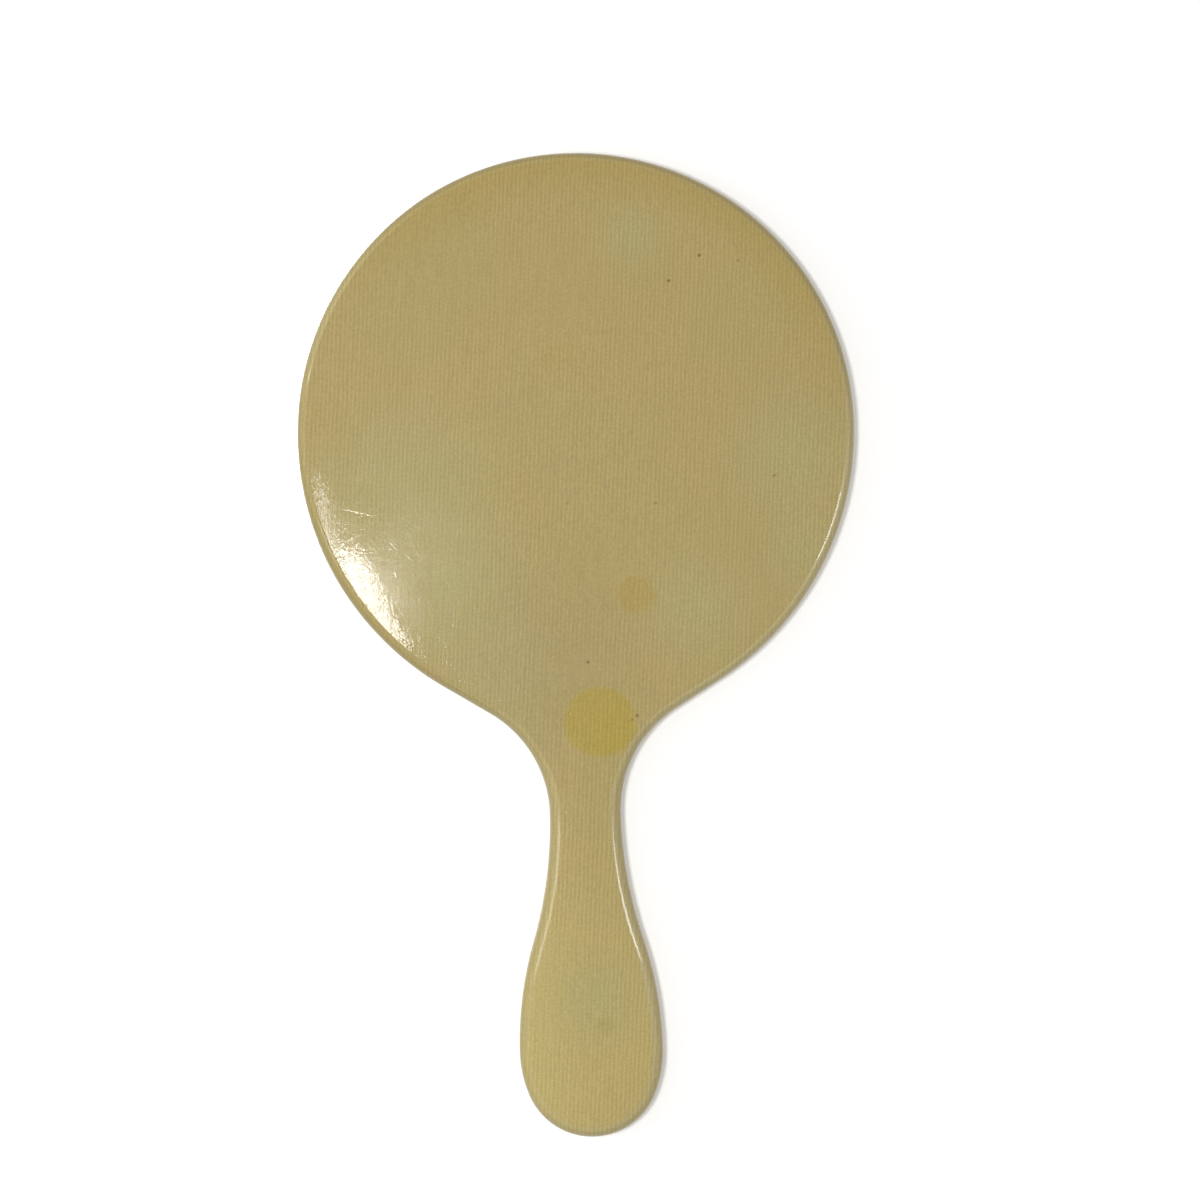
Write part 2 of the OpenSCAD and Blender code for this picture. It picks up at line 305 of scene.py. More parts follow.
# ---------------------------------------------------------------- node helpers
class Nodes:
    """A node tree whose nodes are added one by one, with their inputs given by name or number."""

    def __init__(self, tree):
        self.tree = tree

    def add(self, kind, props=None, inputs=None):
        node = self.tree.nodes.new("ShaderNode" + kind)
        for key, value in (props or {}).items():
            setattr(node, key, value)
        for key, value in (inputs or {}).items():
            if isinstance(value, bpy.types.NodeSocket):
                self.tree.links.new(value, node.inputs[key])
            else:
                node.inputs[key].default_value = value
        return node

    def math(self, operation, a, b=0.0, c=0.0):
        return self.add("Math", {"operation": operation}, {0: a, 1: b, 2: c}).outputs[0]

    def ramp(self, value, low, high, to_low=0.0, to_high=1.0):
        """A smooth step from to_low where value is at low to to_high where it is at high."""
        inputs = {"Value": value, "From Min": low, "From Max": high}
        inputs.update({"To Min": to_low, "To Max": to_high})
        return self.add("MapRange", {"interpolation_type": "SMOOTHSTEP"}, inputs).outputs[0]

    def seen_white(self):
        """1 for what the camera sees, straight or by a reflection or through glass, and 0 for light."""
        rays = self.add("LightPath").outputs
        seen = self.math("MAXIMUM", rays["Is Camera Ray"], rays["Is Glossy Ray"])
        return self.math("MAXIMUM", seen, rays["Is Transmission Ray"])


class Shader(Nodes):
    """A material with one principled surface, whose plain inputs are given by name."""

    def __init__(self, name, **surface):
        self.material = bpy.data.materials.new(name)
        self.material.use_nodes = True
        super().__init__(self.material.node_tree)
        self.surface = self.tree.nodes["Principled BSDF"]
        for key, value in surface.items():
            self.surface.inputs[key.replace("_", " ")].default_value = value
        coordinates = self.add("TexCoord").outputs
        self.place = coordinates["Object"]
        upward = self.add("SeparateXYZ", None, {0: coordinates["Normal"]}).outputs["Z"]
        self.upright = self.math("ABSOLUTE", upward)

    def mapped(self, turn, unit=(1, 1, 1), origin=(0, 0, 0)):
        """Coordinates measured from the origin and turned round Z, with a unit for each turned axis."""
        inputs = {"Vector": self.place, "Location": origin, "Rotation": (0, 0, -turn), "Scale": unit}
        return self.add("Mapping", {"vector_type": "TEXTURE"}, inputs).outputs[0]

    def noise(self, scale, detail, roughness, distortion=0.0, place=None):
        inputs = {"Vector": place or self.place, "Scale": scale, "Detail": detail}
        inputs.update({"Roughness": roughness, "Distortion": distortion})
        return self.add("TexNoise", None, inputs).outputs["Fac"]

    def mix(self, share, a, b, blend="MIX"):
        node = self.add("Mix", {"data_type": "RGBA", "blend_type": blend}, {0: share, 6: a, 7: b})
        return node.outputs[2]

    def distance(self, point, place=None):
        inputs = {0: place or self.place, 1: point}
        return self.add("VectorMath", {"operation": "DISTANCE"}, inputs).outputs["Value"]

    def spot(self, centre, radius, softness, wobble=None, wobble_by=0.0):
        """1 inside a round spot and 0 outside it, with a soft edge that the wobble makes uneven."""
        gap = self.distance(centre)
        if wobble is not None:
            gap = self.math("MULTIPLY_ADD", wobble, wobble_by, gap)
        return self.ramp(gap, radius - softness, radius + softness, 1.0, 0.0)

    def bump(self, height, distance, normal=None, strength=1.0):
        inputs = {"Height": height, "Distance": distance, "Strength": strength}
        if normal is not None:
            inputs["Normal"] = normal
        return self.add("Bump", None, inputs).outputs[0]

    def finish(self, **links):
        for key, socket in links.items():
            self.tree.links.new(socket, self.surface.inputs[key.replace("_", " ")])
        return self.material


def srgb(r, g, b):
    """A colour of 0 to 255 values, as the shader's linear ones."""
    parts = [c / 255 for c in (r, g, b)]
    return tuple(((c + 0.055) / 1.055) ** 2.4 if c > 0.04045 else c / 12.92 for c in parts) + (1,)


# ---------------------------------------------------------------- celluloid
GRAIN_TURN = math.radians(3.9)
GRAIN_PITCH = 1.13 * MM
WAVE_UNIT = 20.0  # the wave texture has one band for each 2 pi / 20 of its scaled length
FACE_Z = TOP_Z - 0.3 * MM

# The celluloid's colours.
IVORY_WARM = srgb(166, 145, 88)
IVORY_COOL = srgb(163, 146, 88)
# Painted light: the handle's paler colour, and the still paler one at the left of its grip.
HANDLE_PAINTED_LIGHT = srgb(174, 155, 93)
GRIP_LEFT_PAINTED_LIGHT = srgb(181, 164, 100)
GREENED = srgb(163, 153, 98)
SHADED = srgb(157, 140, 86)
# Painted light: the rolls' paler colour towards the right.
ROLL_PAINTED_LIGHT = srgb(183, 168, 114)
# Yellowing of the top edge, which on the top roll is partly painted shade.
YELLOWING_AND_PAINTED_SHADE = srgb(162, 139, 70)
BLOTCHED = srgb(168, 144, 76)
PITTED = srgb(112, 84, 40)
# Paler scratches, partly a painted highlight where they scatter the window's glare.
SCRAPED_AND_HIGHLIGHT = srgb(222, 212, 178)

# How fine each noise of the celluloid is: features to a metre.
CLOUD_SCALE = 26
FINE_SCALE = 1500
SWELL_SCALE = 140
RIPPLE_SCALE = 650
HAZE_SCALE = 60
RAGGED_SCALE = 110

# How high each unevenness of the celluloid is.
SWELL_H = 0.02 * MM
RIPPLE_H = 0.013 * MM
MARK_H = 0.002 * MM
GRAIN_H = 0.003 * MM
GRAIN_COAT_H = 0.0005 * MM
PIT_H = 0.01 * MM
SCRATCH_H = 0.004 * MM

# Places on the back, from the head's centre: (x, y, radius) in millimetres. Stains have a strength and a
# colour too. Scratches have half their length and an angle in degrees in place of the radius.
STAINS = [
    ((4.6, -77.9, 9.4), 0.85, (164, 142, 48)),
    ((15.5, -44.2, 4.8), 0.75, (162, 139, 64)),
    ((4, -159.5, 2.4), 0.4, (152, 144, 68)),
]
SHADED_SPOT = (-7, -60, 24)
RUBBED = (-48, -36, 13)
SCRATCHES = [
    (-58.8, -20.2, 6.5, -15), (-50.1, -46.1, 4.4, -84), (-49.1, -37, 1.5, -80),
    (-53.6, -37.8, 1.9, -79), (-49.7, -29.2, 1.8, -53), (-45.5, -32.8, 1.6, -48),
]
SCRATCH_HALF_W = 0.3 * MM
BLOTCHES = [(-4.9, 19.9, 6.0), (3.6, -12.7, 5.0)]
GREEN_PATCHES = [
    (16, 52, 10), (58, -8, 17), (-45, -15, 22), (-34, -42, 20), (-20, -64, 14), (-17, -79, 9),
    (31, -48, 15), (61, -34, 12), (2, -152, 13),
]
PITS = [
    (26.0, 39.6, 0.45), (34.3, 46.2, 0.5), (44.5, 44.6, 0.4), (1.8, -61.9, 0.5), (14.6, -76.5, 0.55),
    (13.2, -77.6, 0.4), (21.0, -19.9, 0.4), (52.9, -13.2, 0.4), (11.9, -89.1, 0.75), (-2.8, -19.3, 0.35),
]
FAINT_GRAIN = [
    (-4, 36, 12), (-35, 47, 17), (-46, -38, 16), (5, -38, 13), (57, -48, 10), (-12, -150, 14),
    (-2, -66, 10),
]

# The fine marks: their turn in radians, their place in the noise, their width and length in
# millimetres, and the noise's value that they start from.
FINE_MARKS = [
    (0.1, 3.1, 0.35, 9, 0.66),
    (1.45, 7.7, 0.3, 6, 0.68),
    (-0.5, 11.3, 0.3, 6, 0.68),
    (0.8, 19.9, 0.3, 6, 0.68),
]


def on_face(x, y):
    return (x * MM, y * MM + HEAD_Y, FACE_Z)


def grain(shader):
    """Fine bands of lighter and darker celluloid along the mirror, uneven and faint in places."""
    period = 2 * math.pi / WAVE_UNIT
    inputs = {"Vector": shader.mapped(GRAIN_TURN), "Scale": period / GRAIN_PITCH, "Distortion": 2.4}
    inputs.update({"Detail": 2.0, "Detail Scale": 0.3, "Detail Roughness": 0.6})
    bands = shader.add("TexWave", {"wave_type": "BANDS", "bands_direction": "X"}, inputs).outputs["Fac"]
    bands = shader.math("SUBTRACT", bands, 0.5)
    dashes = shader.noise(1, 1, 0.5, place=shader.mapped(GRAIN_TURN, (1.1 * MM, 3.3 * MM, 3.3 * MM)))
    bands = shader.math("MULTIPLY", bands, shader.ramp(dashes, 0.3, 0.7, 0.4, 1.5))
    for x, y, r in FAINT_GRAIN:
        faint = shader.spot(on_face(x, y), r * MM, r * 0.6 * MM)
        bands = shader.math("MULTIPLY", bands, shader.math("MULTIPLY_ADD", faint, -0.75, 1.0))
    streaks = shader.noise(1, 3, 0.6, place=shader.mapped(GRAIN_TURN, (0.9 * MM, 8 * MM, 3.3 * MM)))
    bands = shader.math("MULTIPLY_ADD", shader.math("SUBTRACT", streaks, 0.5), 1.1, bands)
    return shader.math("MULTIPLY", bands, shader.ramp(shader.upright, 0.2, 0.9, 0.3, 1))


def fine_marks(shader, rubbed):
    """Thin short marks that run four ways, with more of them where the back is rubbed."""
    marks = 0.0
    for turn, seed, width, length, start in FINE_MARKS:
        unit = (width * MM, length * MM, length * MM)
        place = shader.mapped(turn, unit, (seed * MM, seed * MM, 0))
        found = shader.math("MULTIPLY_ADD", rubbed, 0.05, shader.noise(1, 1, 0.4, 0.3, place=place))
        marks = shader.math("MAXIMUM", marks, shader.ramp(found, start, start + 0.05))
    return marks


def scratches(shader):
    """The long scratches, each as a very long ellipse."""
    found = 0.0
    for x, y, half, angle in SCRATCHES:
        unit = (half * MM, SCRATCH_HALF_W, 3 * MM)
        reach = shader.distance((0, 0, 0), shader.mapped(-math.radians(angle), unit, on_face(x, y)))
        found = shader.math("MAXIMUM", found, shader.ramp(reach, 0.3, 1, 1, 0))
    return found


def pits(shader, fine):
    """The dark pits, whose edges the fine noise makes uneven."""
    found = 0.0
    for x, y, r in PITS:
        pit = shader.spot(on_face(x, y), (r + 0.1) * MM, 0.25 * MM, fine, 0.3 * MM)
        found = shader.math("MAXIMUM", found, pit)
    return found


def shaded(shader, colour, value, low, high, by):
    """The colour made up to a share of by darker or lighter as the value goes from low to high."""
    shade = shader.ramp(value, low, high, 1 - by, 1 + by)
    grey = shader.add("CombineColor", None, {0: shade, 1: shade, 2: shade}).outputs[0]
    return shader.mix(1.0, colour, grey, "MULTIPLY")


def handle_painted_light(shader, colour, across, along):
    """Painted light: the handle is lighter than the head, most of all at the left of its grip."""
    handle = shader.ramp(along, HEAD_Y - 160 * MM, HEAD_Y - 85 * MM, 1, 0)
    colour = shader.mix(handle, colour, HANDLE_PAINTED_LIGHT)
    left = shader.math("MULTIPLY", handle, shader.ramp(across, -18 * MM, 4 * MM, 0.9, 0))
    return shader.mix(left, colour, GRIP_LEFT_PAINTED_LIGHT)


def patched(shader, colour, cloud):
    """Soft green patches, and a darker one low on the head."""
    for x, y, r in GREEN_PATCHES:
        patch = shader.spot(on_face(x, y), r * MM, r * 0.75 * MM, cloud, 8 * MM)
        colour = shader.mix(shader.math("MULTIPLY", patch, 0.7), colour, GREENED)
    x, y, r = SHADED_SPOT
    shade = shader.spot(on_face(x, y), r * MM, 16 * MM, cloud, 8 * MM)
    return shader.mix(shader.math("MULTIPLY", shade, 0.6), colour, SHADED)


def rolls_lit_shaded_and_yellowed(shader, colour, cloud, across, along):
    """Painted light: the rolled edge is paler towards the right. The head's upper edge and the face
    beside it are yellowed, and on the top roll the yellowing is partly painted shade.
    """
    edge = shader.ramp(shader.upright, 0.88, 0.999, 1, 0)
    right = shader.math("ADD", across, shader.math("MAXIMUM", along, HEAD_Y - 50 * MM))
    right = shader.ramp(right, HEAD_Y - 110 * MM, HEAD_Y - 10 * MM)
    colour = shader.mix(shader.math("MULTIPLY", edge, right), colour, ROLL_PAINTED_LIGHT)
    from_head = shader.spot(on_face(0, 0), 70 * MM, 7 * MM, cloud, 8 * MM)
    upper = shader.math("MULTIPLY_ADD", across, 0.3, along)
    upper = shader.ramp(upper, HEAD_Y + 10 * MM, HEAD_Y + 60 * MM)
    rim = shader.math("MULTIPLY", shader.math("MULTIPLY_ADD", from_head, -0.6, 0.6), upper)
    # On the top roll the yellowing is partly painted shade.
    top = shader.math("MULTIPLY_ADD", across, 0.1, along)
    top = shader.math("MULTIPLY", edge, shader.ramp(top, HEAD_Y + 40 * MM, HEAD_Y + 85 * MM, 0, 0.7))
    return shader.mix(shader.math("MAXIMUM", rim, top), colour, YELLOWING_AND_PAINTED_SHADE)


def stained(shader, colour, cloud):
    """The yellow stains and the fainter blotches, which have ragged edges."""
    ragged = shader.noise(RAGGED_SCALE, 3, 0.6)
    for (x, y, r), strength, stain in STAINS:
        spot = shader.spot(on_face(x, y), (r + 1.6) * MM, 1 * MM, ragged, 3.2 * MM)
        share = shader.math("MULTIPLY", spot, shader.ramp(cloud, 0.3, 0.7, strength * 0.8, strength))
        colour = shader.mix(share, colour, srgb(*stain))
    for x, y, r in BLOTCHES:
        spot = shader.spot(on_face(x, y), r * MM, r * 0.8 * MM, ragged, 6 * MM)
        colour = shader.mix(shader.math("MULTIPLY", spot, 0.35), colour, BLOTCHED)
    return colour


def celluloid(name, grained):
    """Aged ivory celluloid. The grained one has the marks of the back's face too, and painted light and
    shade.
    """
    shader = Shader(name, Coat_Weight=0.55, Coat_Roughness=0.05, Specular_IOR_Level=0.3)
    cloud = shader.noise(CLOUD_SCALE, 3, 0.5, 0.4)
    colour = shader.mix(shader.ramp(cloud, 0.35, 0.65), IVORY_WARM, IVORY_COOL)
    fine = shader.noise(FINE_SCALE, 2, 0.6)
    normal = shader.bump(shader.noise(SWELL_SCALE, 2, 0.5), SWELL_H, strength=0.4)
    x, y, r = RUBBED
    rubbed = shader.spot(on_face(x, y), r * MM, r * 0.6 * MM)
    marks = fine_marks(shader, rubbed)
    haze = shader.ramp(shader.noise(HAZE_SCALE, 3, 0.6), 0.3, 0.7, 0.3, 0.44)
    roughness = shader.math("MULTIPLY_ADD", marks, 0.2, haze)
    flat = shader.ramp(shader.upright, 0.98, 0.999)
    ripples = shader.math("SUBTRACT", shader.noise(RIPPLE_SCALE, 2, 0.6), 0.5)
    coat_normal = shader.bump(shader.math("MULTIPLY", ripples, flat), RIPPLE_H, normal)
    coat_normal = shader.bump(shader.math("MULTIPLY", marks, flat), MARK_H, coat_normal)
    if grained:
        across, along = shader.add("SeparateXYZ", None, {0: shader.place}).outputs[:2]
        # Painted light on the handle.
        colour = handle_painted_light(shader, colour, across, along)
        colour = patched(shader, colour, cloud)
        # Painted light and shade on the rolls, and the yellowed top edge.
        colour = rolls_lit_shaded_and_yellowed(shader, colour, cloud, across, along)
        colour = stained(shader, colour, cloud)
        bands = grain(shader)
        colour = shaded(shader, colour, bands, -0.6, 0.6, 0.085)
        pitted = pits(shader, fine)
        colour = shader.mix(shader.math("MULTIPLY", pitted, 0.85), colour, PITTED)
        normal = shader.bump(bands, GRAIN_H, normal)
        coat_normal = shader.bump(bands, GRAIN_COAT_H, coat_normal)
        coat_normal = shader.bump(shader.math("SUBTRACT", 1.0, pitted), PIT_H, coat_normal)
        long_ones = scratches(shader)
        coat_normal = shader.bump(long_ones, SCRATCH_H, coat_normal)
        # The scratches are paler, partly as a painted highlight where they scatter the window's glare.
        short_ones = shader.math("MULTIPLY", shader.math("MULTIPLY", marks, rubbed), 0.3)
        scraped_and_highlight = shader.math("MULTIPLY", shader.math("MAXIMUM", long_ones, short_ones), 0.3)
        colour = shader.mix(scraped_and_highlight, colour, SCRAPED_AND_HIGHLIGHT)
    colour = shaded(shader, colour, fine, 0.3, 0.7, 0.07)
    return shader.finish(Base_Color=colour, Roughness=roughness, Normal=normal, Coat_Normal=coat_normal)


# ---------------------------------------------------------------- other materials
def clear_glass():
    tint = (0.975, 0.99, 0.98, 1)
    shader = Shader("bevelled_glass", Transmission_Weight=1.0, IOR=1.52, Base_Color=tint)
    dust = shader.ramp(shader.noise(500, 4, 0.7), 0.62, 0.8, 0.0, 0.12)
    smear = shader.ramp(shader.noise(35, 3, 0.6, 1.5), 0.45, 0.75, 0.0, 0.05)
    return shader.finish(Roughness=shader.math("ADD", dust, smear))


def aged_silver():
    shader = Shader("aged_silver", Metallic=1.0)
    from_middle = shader.distance((0, HEAD_Y, GLASS_HI.z))
    near_edge = shader.ramp(from_middle, GLASS_R - 11 * MM, GLASS_R)
    foxing = shader.noise(420, 4, 0.55)
    spots = shader.ramp(shader.math("MULTIPLY_ADD", near_edge, 0.22, foxing), 0.66, 0.84)
    colour = shader.mix(spots, (0.93, 0.93, 0.92, 1), (0.4, 0.33, 0.24, 1))
    return shader.finish(Base_Color=colour, Roughness=shader.math("MULTIPLY_ADD", spots, 0.4, 0.02))


def plain(name, dark, light, scale, roughness, bump_by, unit=(1, 1, 1), turn=0.0, sheen=0.0):
    """A matt material of two colours mixed by noise, which an uneven unit makes into fibres or grain."""
    shader = Shader(name, Sheen_Weight=sheen)
    place = shader.mapped(turn, unit)
    coarse = shader.noise(scale, 4, 0.6, 0.3, place=place)
    fine = shader.noise(scale * 6, 3, 0.6, place=place)
    blend = shader.ramp(shader.math("MULTIPLY_ADD", fine, 0.4, coarse), 0.45, 0.95)
    colour = shader.mix(blend, dark, light)
    rough = shader.ramp(fine, 0.3, 0.7, roughness - 0.08, roughness + 0.08)
    normal = shader.bump(blend, bump_by)
    return shader.finish(Base_Color=colour, Roughness=rough, Normal=normal)


# ---------------------------------------------------------------- the two shells
def back_cover(material):
    bm = bmesh.new()
    crease_z = face_z(CREASE)
    side_z = SEAM_Z + SIDE_H

    def roll_ring(turn):
        inset = CREASE_IN * (1 - math.cos(turn)) / (1 - math.cos(ROLL_SWEEP))
        return inset_ring(inset), side_z + (crease_z - side_z) * math.sin(turn) / math.sin(ROLL_SWEEP)

    # The crease is rounded by a curve from the face over the corner to the roll.
    inner = inset_ring(CREASE_IN + CREASE_ROUND)
    inner_z = face_z(inner)
    below_turn = ROLL_SWEEP * (1 - 0.9 * CREASE_ROUND / CREASE_IN_HEAD)
    below, below_z = roll_ring(below_turn)
    rings = [add_ring(bm, inner, inner_z)]
    for k in range(1, FILLET_STEPS):
        t = k / FILLET_STEPS
        a, b, c = (1 - t) ** 2, 2 * t * (1 - t), t * t
        points = a * inner + b * CREASE + c * below
        rings.append(add_ring(bm, points, a * inner_z + b * crease_z + c * below_z))
    for k in range(ROLL_STEPS + 1):
        points, z = roll_ring(below_turn * (1 - k / ROLL_STEPS))
        rings.append(add_ring(bm, points, z))
    groove_out = (WALL - TONGUE_W) / 2 - TONGUE_CLEAR
    groove_in = (WALL + TONGUE_W) / 2 + TONGUE_CLEAR
    groove_z = SEAM_Z + TONGUE_H + TONGUE_CLEAR
    inside = [
        (0, SEAM_Z + ARRIS), (ARRIS_MID, SEAM_Z + ARRIS_MID), (ARRIS, SEAM_Z),
        (groove_out, SEAM_Z), (groove_out, groove_z), (groove_in, groove_z), (groove_in, SEAM_Z),
        (WALL, SEAM_Z), (WALL, CEILING_Z),
    ]
    rings += [add_ring(bm, inset_ring(inset), z) for inset, z in inside]
    bridge_all(bm, rings)
    close_rows(bm, rings[-1])

    # The face is a grid of strips between the right and the left points of the first ring.
    first = rings[0]
    turn = math.pi * np.arange(1, FACE_STRIPS) / FACE_STRIPS
    rows = [[first[0]] * (FACE_STRIPS + 1)]
    grid = np.array([[inner[i, 0] * c, inner[i, 1]] for i in range(1, HALF_N) for c in np.cos(turn)])
    grid_z = face_z(grid)
    for i in range(1, HALF_N):
        at = (i - 1) * (FACE_STRIPS - 1)
        between = add_ring(bm, grid[at : at + FACE_STRIPS - 1], grid_z[at : at + FACE_STRIPS - 1])
        rows.append([first[i], *between, first[RING_N - i]])
    rows.append([first[HALF_N]] * (FACE_STRIPS + 1))
    for a, b in zip(rows, rows[1:]):
        for j in range(FACE_STRIPS):
            bm.faces.new(list(dict.fromkeys([a[j], b[j], b[j + 1], a[j + 1]])))
    return new_piece("back_cover", bm, material, "back_shell")


def front_frame(material):
    bm = bmesh.new()
    tongue_out = (WALL - TONGUE_W) / 2
    tongue_in = tongue_out + TONGUE_W
    tongue_z = SEAM_Z + TONGUE_H
    outside = [
        (tongue_in, SEAM_Z), (tongue_in, tongue_z), (tongue_out, tongue_z), (tongue_out, SEAM_Z),
        (ARRIS, SEAM_Z), (ARRIS_MID, SEAM_Z - ARRIS_MID), (0, SEAM_Z - ARRIS),
    ]
    for k in range(ROLL_STEPS + 1):
        turn = math.pi / 2 * k / ROLL_STEPS
        outside.append((FRONT_ROLL_R * (1 - math.cos(turn)), FRONT_ROLL_R * (1 - math.sin(turn))))
    rings = [add_ring(bm, inset_ring(inset), z) for inset, z in outside]
    bridge_all(bm, rings)

    # The wall of the glass seat, with the groove that the bead's ridge snaps into.
    foot_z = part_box("bezel_bead")[1].z
    snap_z = (BEAD_SINK + foot_z) / 2
    wall = [(SEAT_R + ARRIS, 0), (SEAT_R + ARRIS_MID, ARRIS_MID), (SEAT_R, ARRIS)]
    wall += half_round(SEAT_R, snap_z, SNAP_R + BEAD_CLEAR)
    wall.append((SEAT_R, SEAM_Z))
    seat = [add_ring(bm, circle_points(r), z) for r, z in wall]
    bridge_all(bm, seat)

    # The hollow of the handle, which the stick fills.
    step_y = -HEAD_R - CORE_STEP
    inner = inset_ring(WALL)
    low = [p for p in inner[: HALF_N + 1] if p[1] < step_y]
    side_x = np.interp(-step_y, -inner[: HALF_N + 1, 1], inner[: HALF_N + 1, 0])
    right = [np.array([side_x, step_y]), *low]
    hollow = np.array(right + [p * [-1, 1] for p in right[-2::-1]])
    mouth = add_ring(bm, hollow, SEAM_Z)
    floor = add_ring(bm, hollow, WALL)
    bridge(bm, mouth, floor)
    close_flat(bm, [floor])
    close_flat(bm, [rings[0], seat[-1], mouth])
    close_flat(bm, [rings[-1], seat[0]])
    return new_piece("front_frame", bm, material, "front_shell")


# ---------------------------------------------------------------- the turned pieces
def bevel_z(radius):
    return GLASS_LO.z + BEVEL_FALL * (radius - GLASS_R + BEVEL_W) / BEVEL_W


def glass_bead(material):
    outer = SEAT_R - BEAD_CLEAR
    inner = SEAT_R - BEAD_W
    lip_z = bevel_z(inner)
    foot_z = bevel_z(GLASS_R)
    snap_z = (BEAD_SINK + foot_z) / 2
    profile = []
    for k in range(LIP_STEPS + 1):
        turn = math.pi / 2 * k / LIP_STEPS
        radius = outer - (outer - inner) * math.cos(turn)
        profile.append((radius, lip_z - (lip_z - BEAD_SINK) * math.sin(turn)))
    profile += half_round(outer, snap_z, SNAP_R)
    profile += [(outer, foot_z), (GLASS_R, foot_z)]
    bm = lathe(profile, 2 * math.pi - BEAD_GAP / SEAT_R, 0.12 * MM)
    return new_piece("glass_bead", bm, material, "bezel_bead", 40)


def bevelled_glass(material):
    """The glass reaches a little way into the silver, so that light meets no gap between them."""
    back_z = GLASS_HI.z + 0.3 * SILVER_T
    edge_z = bevel_z(GLASS_R)
    profile = [
        (0, GLASS_LO.z), (GLASS_R - BEVEL_W, GLASS_LO.z),
        (GLASS_R - GLASS_ARRIS, bevel_z(GLASS_R - GLASS_ARRIS)),
        (GLASS_R, edge_z + GLASS_ARRIS), (GLASS_R, back_z), (0, back_z),
    ]
    return new_piece("bevelled_glass", lathe(profile), material, "mirror_glass", 3)


def felt_disc(material):
    """The felt, pressed flat, with a rounded and slightly uneven cut edge."""
    radius = (FELT_HI.x - FELT_LO.x) / 2
    low, high = FELT_LO.z, FELT_HI.z
    middle = (low + high) / 2
    half = (high - low) / 2
    steps = [radius * k / FELT_RINGS for k in range(FELT_RINGS - 1)]
    profile = [(r, low) for r in steps]
    profile += half_round(radius - half, middle, half)
    profile += [(r, high) for r in reversed(steps)]
    bm = lathe(profile)
    for v in bm.verts:
        r = math.hypot(v.co.x, v.co.y)
        if r > radius * 0.9:
            turn = math.atan2(v.co.y, v.co.x)
            pull = 0.15 * MM * (1 + math.sin(17 * turn) * math.sin(5.3 * math.sin(turn) + 2))
            v.co.xy *= 1 - pull / radius
        inwards = -1 if v.co.z > middle else 1
        v.co.z += inwards * 0.03 * MM * math.sin(r * 900)
    piece = new_piece("felt_disc", bm, material, "felt_cushion", 60)
    return piece


# ---------------------------------------------------------------- stage, lamps and camera
CAMERA_LENS = 100.0
SENSOR = 36.0
VIEW_W = 0.3232  # width of what the camera sees at the mirror
VIEW_CENTRE = (0.0054, 0.0122)
VIEW_TURN = math.radians(-1.47)
CAMERA_Z = VIEW_W * CAMERA_LENS / SENSOR + SEAM_Z
SKY_LIGHT = 0.45  # how bright the white world is as a light from above
FLOOR_LIGHT = 0.6  # and from below, in place of a lit floor
FLOOR_HALF = 2.5
FLOOR_DROP = 0.02 * MM  # how far the floor is below the rim, so that they don't share a plane


def camera():
    data = bpy.data.cameras.new("camera")
    data.lens = CAMERA_LENS
    data.sensor_width = SENSOR
    view = bpy.data.objects.new("camera", data)
    view.location = (*VIEW_CENTRE, CAMERA_Z)
    view.rotation_euler = (0, 0, VIEW_TURN)
    bpy.context.scene.collection.objects.link(view)
    bpy.context.scene.camera = view


def lamp(name, place, aim, size, radiance, glossy=True, diffuse=True):
    """An area lamp that faces aim. Its power follows from how bright its surface is."""
    data = bpy.data.lights.new(name, "AREA")
    data.shape = "RECTANGLE"
    data.size, data.size_y = size
    data.energy = radiance * math.pi * size[0] * size[1]
    found = bpy.data.objects.new(name, data)
    found.location = place
    found.rotation_euler = (Vector(aim) - Vector(place)).to_track_quat("-Z", "Y").to_euler()
    found.visible_glossy = glossy
    found.visible_diffuse = diffuse
    bpy.context.scene.collection.objects.link(found)


def lamps():
    """A window that the face mirrors at its lower left, with the bright wall round it, and the rest."""
    face = (0, HEAD_Y, TOP_Z)
    glare = (-0.055, HEAD_Y - 0.042, TOP_Z)
    # These four hang overhead and face right, so their first size runs nearly along the mirror.
    for name, x, y, z, size, radiance in (
        ("window", -0.178, -0.0065, 0.91, (0.074, 0.052), 36),
        ("window_side", -0.213, 0.0513, 0.915, (0.044, 0.018), 14),
        ("window_glow", -0.174, 0.0208, 0.92, (0.033, 0.092), 7),
        ("wall_glow", -0.167, 0.0233, 0.93, (0.072, 0.106), 2),
    ):
        lamp(name, (x, y, z), glare, size, radiance, diffuse=False)
    lamp("key", (-0.16, 0, 1), (0, 0, 0), (0.13, 0.13), 95, glossy=False)
    lamp("fill", (-0.75, 0.05, 0.4), (0, 0, 0), (0.5, 0.4), 2.4, glossy=False)
    lamp("from_below", (-0.45, 0.25, -0.8), (0, 0, 0), (0.5, 0.5), 5)
    lamp("right_glint", (0.25, HEAD_Y - 0.082, 0.173), face, (0.068, 0.075), 15, diffuse=False)
    lamp("left_glint", (-0.3, HEAD_Y - 0.1, 0.22), (0, 0, 0), (0.05, 0.1), 5, diffuse=False)
    lamp("upper_glint", (-0.315, HEAD_Y + 0.09, 0.17), face, (0.018, 0.06), 12, diffuse=False)


